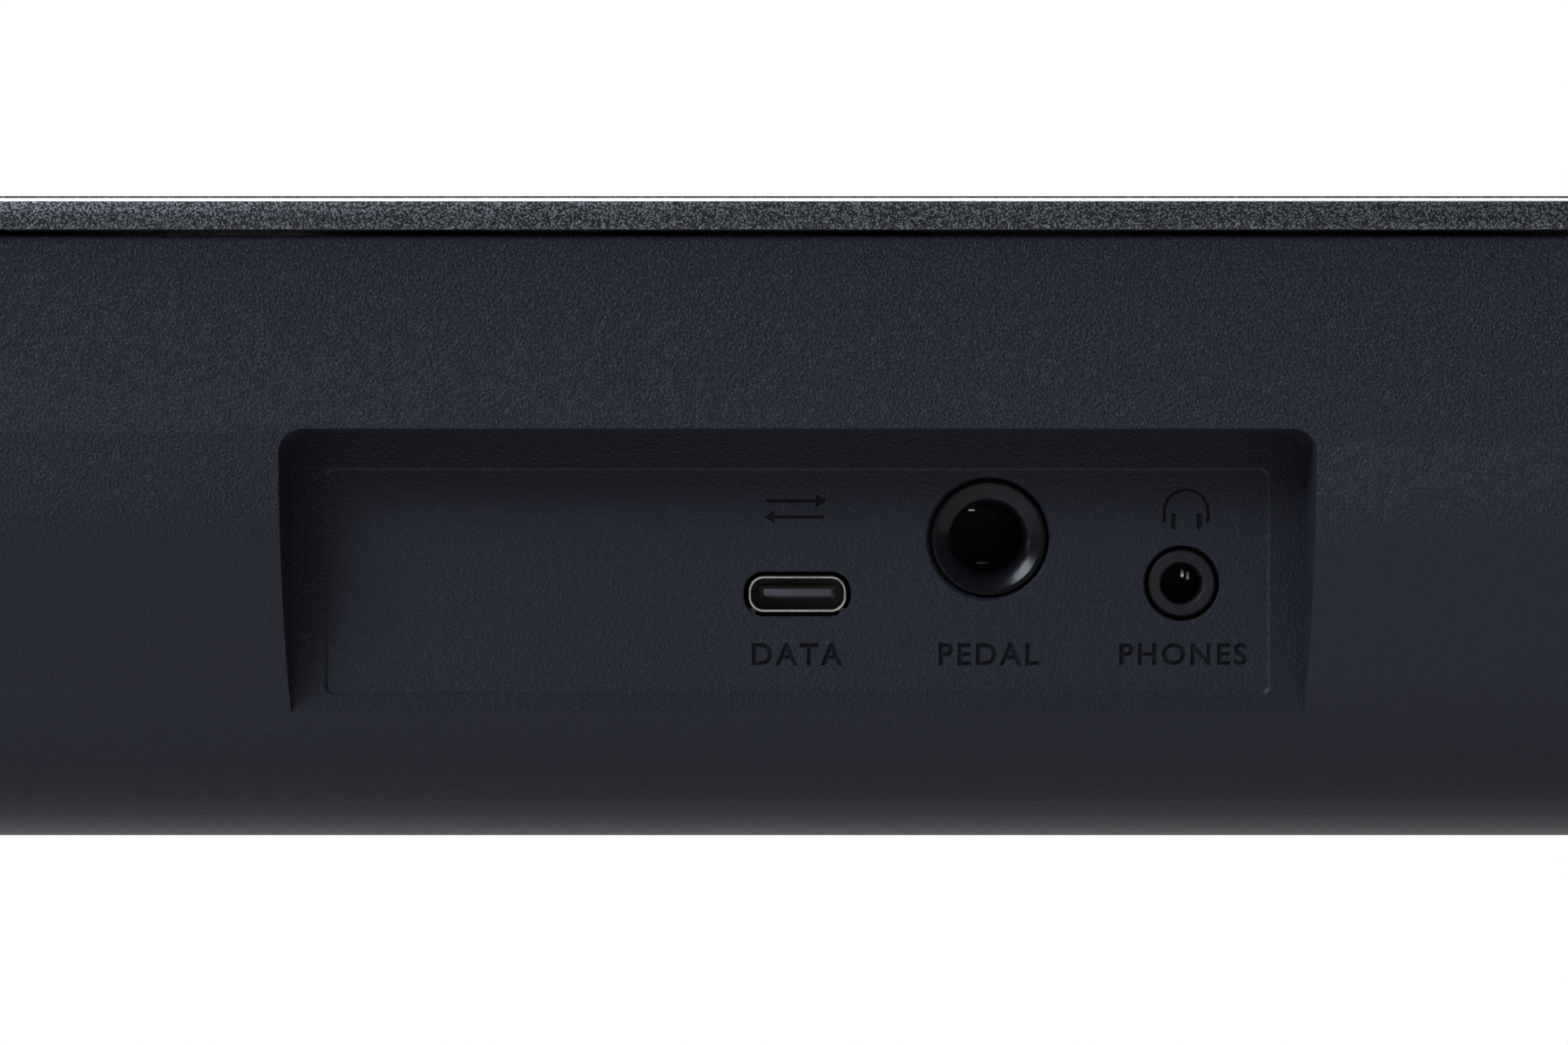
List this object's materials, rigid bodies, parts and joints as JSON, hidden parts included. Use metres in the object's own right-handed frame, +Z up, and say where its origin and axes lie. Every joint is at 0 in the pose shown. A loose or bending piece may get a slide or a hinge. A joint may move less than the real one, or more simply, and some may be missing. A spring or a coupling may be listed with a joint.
{
  "type": "digital piano on stand",
  "caption": "Slim digital piano with full keyboard, metallic top panel and a rear connector recess, on a flat-pack board stand with a rear beam.",
  "frame": {"origin": "on the floor under the middle of the stand, which is the bottom centre of the bounding box", "axes": "+Z up, +Y towards the rear of the piano where the connectors are, -Y towards the player, +X towards the treble end"},
  "size_m": [1.281, 0.36, 0.7463],
  "materials": {
    "case": "dark blue-grey moulding with a fine pebbled texture",
    "panel": "dark grey lacquer with fine metal flake",
    "end_block": "dark blue-grey moulding with a fine pebbled texture",
    "key_slip": "satin black moulding",
    "grille": "black perforated sheet",
    "speaker": "black cone and basket",
    "circuit_board": "green solder mask",
    "port_metal": "nickel-plated sheet",
    "port_plastic": "dark grey moulding",
    "jack_plastic": "glossy black moulding",
    "key_frame": "black moulded chassis",
    "contact_rubber": "dark grey silicone",
    "stand_upright": "board with black embossed laminate",
    "stand_foot": "board with black embossed laminate",
    "stand_beam": "board with black embossed laminate",
    "bracket": "black powder coat",
    "thumb_screw": "black knurled head on a zinc-plated thread",
    "glide": "black rubber",
    "knob": "dark turned metal with a knurled side",
    "button": "satin black cap",
    "white_key": "ivory-white top with a faint grain",
    "black_key": "ebony-textured black"
  },
  "bodies": {
    "case_and_stand": {"lower_case": "case", "top_panel": "panel", "end_block_left": "end_block", "end_block_right": "end_block", "key_slip": "key_slip", "speaker_grille_left": "grille", "speaker_left": "speaker", "speaker_grille_right": "grille", "speaker_right": "speaker", "main_board": "circuit_board", "jack_board": "circuit_board", "data_port_shell": "port_metal", "data_port_tongue": "port_plastic", "pedal_jack": "jack_plastic", "phones_jack": "jack_plastic", "key_frame": "key_frame", "contact_strip": "contact_rubber", "stand_upright_left": "stand_upright", "stand_foot_left": "stand_foot", "stand_bracket_left": "bracket", "glide_front_left": "glide", "thumb_screw_front_left": "thumb_screw", "glide_rear_left": "glide", "thumb_screw_rear_left": "thumb_screw", "stand_upright_right": "stand_upright", "stand_foot_right": "stand_foot", "stand_bracket_right": "bracket", "glide_front_right": "glide", "thumb_screw_front_right": "thumb_screw", "glide_rear_right": "glide", "thumb_screw_rear_right": "thumb_screw", "stand_beam": "stand_beam"},
    "key_c_4": {"key_c_4": "white_key"},
    "key_c_sharp_4": {"key_c_sharp_4": "black_key"},
    "key_d_4": {"key_d_4": "white_key"},
    "key_d_sharp_4": {"key_d_sharp_4": "black_key"},
    "key_e_4": {"key_e_4": "white_key"},
    "key_f_4": {"key_f_4": "white_key"},
    "key_f_sharp_4": {"key_f_sharp_4": "black_key"},
    "key_g_4": {"key_g_4": "white_key"},
    "key_g_sharp_4": {"key_g_sharp_4": "black_key"},
    "key_a_4": {"key_a_4": "white_key"},
    "key_a_sharp_4": {"key_a_sharp_4": "black_key"},
    "key_b_4": {"key_b_4": "white_key"},
    "white_keys_octave_1": {"white_keys_octave_1": "white_key"},
    "black_keys_octave_1": {"black_keys_octave_1": "black_key"},
    "white_keys_octave_2": {"white_keys_octave_2": "white_key"},
    "black_keys_octave_2": {"black_keys_octave_2": "black_key"},
    "white_keys_octave_3": {"white_keys_octave_3": "white_key"},
    "black_keys_octave_3": {"black_keys_octave_3": "black_key"},
    "white_keys_octave_5": {"white_keys_octave_5": "white_key"},
    "black_keys_octave_5": {"black_keys_octave_5": "black_key"},
    "white_keys_octave_6": {"white_keys_octave_6": "white_key"},
    "black_keys_octave_6": {"black_keys_octave_6": "black_key"},
    "white_keys_octave_7": {"white_keys_octave_7": "white_key"},
    "black_keys_octave_7": {"black_keys_octave_7": "black_key"},
    "volume_knob": {"volume_knob": "knob"},
    "power_button": {"power_button": "button"},
    "voice_button": {"voice_button": "button"},
    "metronome_button": {"metronome_button": "button"}
  },
  "joints": [
    {"name": "key_c_4_press", "type": "hinge", "parent": "case_and_stand", "child": "key_c_4", "pos_m": [0, 0.075, 0.714], "axis": [1, 0, 0], "range_deg": [0, 2.9], "stiffness_Nm_per_rad": 0.8, "springref_deg": -11.46},
    {"name": "key_c_sharp_4_press", "type": "hinge", "parent": "case_and_stand", "child": "key_c_sharp_4", "pos_m": [0, 0.075, 0.714], "axis": [1, 0, 0], "range_deg": [0, 3.6], "stiffness_Nm_per_rad": 0.5, "springref_deg": -11.46},
    {"name": "key_d_4_press", "type": "hinge", "parent": "case_and_stand", "child": "key_d_4", "pos_m": [0, 0.075, 0.714], "axis": [1, 0, 0], "range_deg": [0, 2.9], "stiffness_Nm_per_rad": 0.8, "springref_deg": -11.46},
    {"name": "key_d_sharp_4_press", "type": "hinge", "parent": "case_and_stand", "child": "key_d_sharp_4", "pos_m": [0, 0.075, 0.714], "axis": [1, 0, 0], "range_deg": [0, 3.6], "stiffness_Nm_per_rad": 0.5, "springref_deg": -11.46},
    {"name": "key_e_4_press", "type": "hinge", "parent": "case_and_stand", "child": "key_e_4", "pos_m": [0, 0.075, 0.714], "axis": [1, 0, 0], "range_deg": [0, 2.9], "stiffness_Nm_per_rad": 0.8, "springref_deg": -11.46},
    {"name": "key_f_4_press", "type": "hinge", "parent": "case_and_stand", "child": "key_f_4", "pos_m": [0, 0.075, 0.714], "axis": [1, 0, 0], "range_deg": [0, 2.9], "stiffness_Nm_per_rad": 0.8, "springref_deg": -11.46},
    {"name": "key_f_sharp_4_press", "type": "hinge", "parent": "case_and_stand", "child": "key_f_sharp_4", "pos_m": [0, 0.075, 0.714], "axis": [1, 0, 0], "range_deg": [0, 3.6], "stiffness_Nm_per_rad": 0.5, "springref_deg": -11.46},
    {"name": "key_g_4_press", "type": "hinge", "parent": "case_and_stand", "child": "key_g_4", "pos_m": [0, 0.075, 0.714], "axis": [1, 0, 0], "range_deg": [0, 2.9], "stiffness_Nm_per_rad": 0.8, "springref_deg": -11.46},
    {"name": "key_g_sharp_4_press", "type": "hinge", "parent": "case_and_stand", "child": "key_g_sharp_4", "pos_m": [0, 0.075, 0.714], "axis": [1, 0, 0], "range_deg": [0, 3.6], "stiffness_Nm_per_rad": 0.5, "springref_deg": -11.46},
    {"name": "key_a_4_press", "type": "hinge", "parent": "case_and_stand", "child": "key_a_4", "pos_m": [0, 0.075, 0.714], "axis": [1, 0, 0], "range_deg": [0, 2.9], "stiffness_Nm_per_rad": 0.8, "springref_deg": -11.46},
    {"name": "key_a_sharp_4_press", "type": "hinge", "parent": "case_and_stand", "child": "key_a_sharp_4", "pos_m": [0, 0.075, 0.714], "axis": [1, 0, 0], "range_deg": [0, 3.6], "stiffness_Nm_per_rad": 0.5, "springref_deg": -11.46},
    {"name": "key_b_4_press", "type": "hinge", "parent": "case_and_stand", "child": "key_b_4", "pos_m": [0, 0.075, 0.714], "axis": [1, 0, 0], "range_deg": [0, 2.9], "stiffness_Nm_per_rad": 0.8, "springref_deg": -11.46},
    {"name": "white_keys_octave_1_press", "type": "hinge", "parent": "case_and_stand", "child": "white_keys_octave_1", "pos_m": [0, 0.075, 0.714], "axis": [1, 0, 0], "range_deg": [0, 2.9], "stiffness_Nm_per_rad": 7.2, "springref_deg": -11.46},
    {"name": "black_keys_octave_1_press", "type": "hinge", "parent": "case_and_stand", "child": "black_keys_octave_1", "pos_m": [0, 0.075, 0.714], "axis": [1, 0, 0], "range_deg": [0, 3.6], "stiffness_Nm_per_rad": 3, "springref_deg": -11.46},
    {"name": "white_keys_octave_2_press", "type": "hinge", "parent": "case_and_stand", "child": "white_keys_octave_2", "pos_m": [0, 0.075, 0.714], "axis": [1, 0, 0], "range_deg": [0, 2.9], "stiffness_Nm_per_rad": 5.6, "springref_deg": -11.46},
    {"name": "black_keys_octave_2_press", "type": "hinge", "parent": "case_and_stand", "child": "black_keys_octave_2", "pos_m": [0, 0.075, 0.714], "axis": [1, 0, 0], "range_deg": [0, 3.6], "stiffness_Nm_per_rad": 2.5, "springref_deg": -11.46},
    {"name": "white_keys_octave_3_press", "type": "hinge", "parent": "case_and_stand", "child": "white_keys_octave_3", "pos_m": [0, 0.075, 0.714], "axis": [1, 0, 0], "range_deg": [0, 2.9], "stiffness_Nm_per_rad": 5.6, "springref_deg": -11.46},
    {"name": "black_keys_octave_3_press", "type": "hinge", "parent": "case_and_stand", "child": "black_keys_octave_3", "pos_m": [0, 0.075, 0.714], "axis": [1, 0, 0], "range_deg": [0, 3.6], "stiffness_Nm_per_rad": 2.5, "springref_deg": -11.46},
    {"name": "white_keys_octave_5_press", "type": "hinge", "parent": "case_and_stand", "child": "white_keys_octave_5", "pos_m": [0, 0.075, 0.714], "axis": [1, 0, 0], "range_deg": [0, 2.9], "stiffness_Nm_per_rad": 5.6, "springref_deg": -11.46},
    {"name": "black_keys_octave_5_press", "type": "hinge", "parent": "case_and_stand", "child": "black_keys_octave_5", "pos_m": [0, 0.075, 0.714], "axis": [1, 0, 0], "range_deg": [0, 3.6], "stiffness_Nm_per_rad": 2.5, "springref_deg": -11.46},
    {"name": "white_keys_octave_6_press", "type": "hinge", "parent": "case_and_stand", "child": "white_keys_octave_6", "pos_m": [0, 0.075, 0.714], "axis": [1, 0, 0], "range_deg": [0, 2.9], "stiffness_Nm_per_rad": 5.6, "springref_deg": -11.46},
    {"name": "black_keys_octave_6_press", "type": "hinge", "parent": "case_and_stand", "child": "black_keys_octave_6", "pos_m": [0, 0.075, 0.714], "axis": [1, 0, 0], "range_deg": [0, 3.6], "stiffness_Nm_per_rad": 2.5, "springref_deg": -11.46},
    {"name": "white_keys_octave_7_press", "type": "hinge", "parent": "case_and_stand", "child": "white_keys_octave_7", "pos_m": [0, 0.075, 0.714], "axis": [1, 0, 0], "range_deg": [0, 2.9], "stiffness_Nm_per_rad": 6.4, "springref_deg": -11.46},
    {"name": "black_keys_octave_7_press", "type": "hinge", "parent": "case_and_stand", "child": "black_keys_octave_7", "pos_m": [0, 0.075, 0.714], "axis": [1, 0, 0], "range_deg": [0, 3.6], "stiffness_Nm_per_rad": 2.5, "springref_deg": -11.46},
    {"name": "volume_turn", "type": "hinge", "parent": "case_and_stand", "child": "volume_knob", "pos_m": [-0.045, 0.096, 0.746], "axis": [0, 0, 1], "range_deg": [-150, 150]},
    {"name": "power_button_press", "type": "slide", "parent": "case_and_stand", "child": "power_button", "axis": [0, 0, -1], "range_m": [0, 0.0012], "stiffness_N_per_m": 150, "springref_m": -0.003},
    {"name": "voice_button_press", "type": "slide", "parent": "case_and_stand", "child": "voice_button", "axis": [0, 0, -1], "range_m": [0, 0.0012], "stiffness_N_per_m": 150, "springref_m": -0.003},
    {"name": "metronome_button_press", "type": "slide", "parent": "case_and_stand", "child": "metronome_button", "axis": [0, 0, -1], "range_m": [0, 0.0012], "stiffness_N_per_m": 150, "springref_m": -0.003}
  ]
}
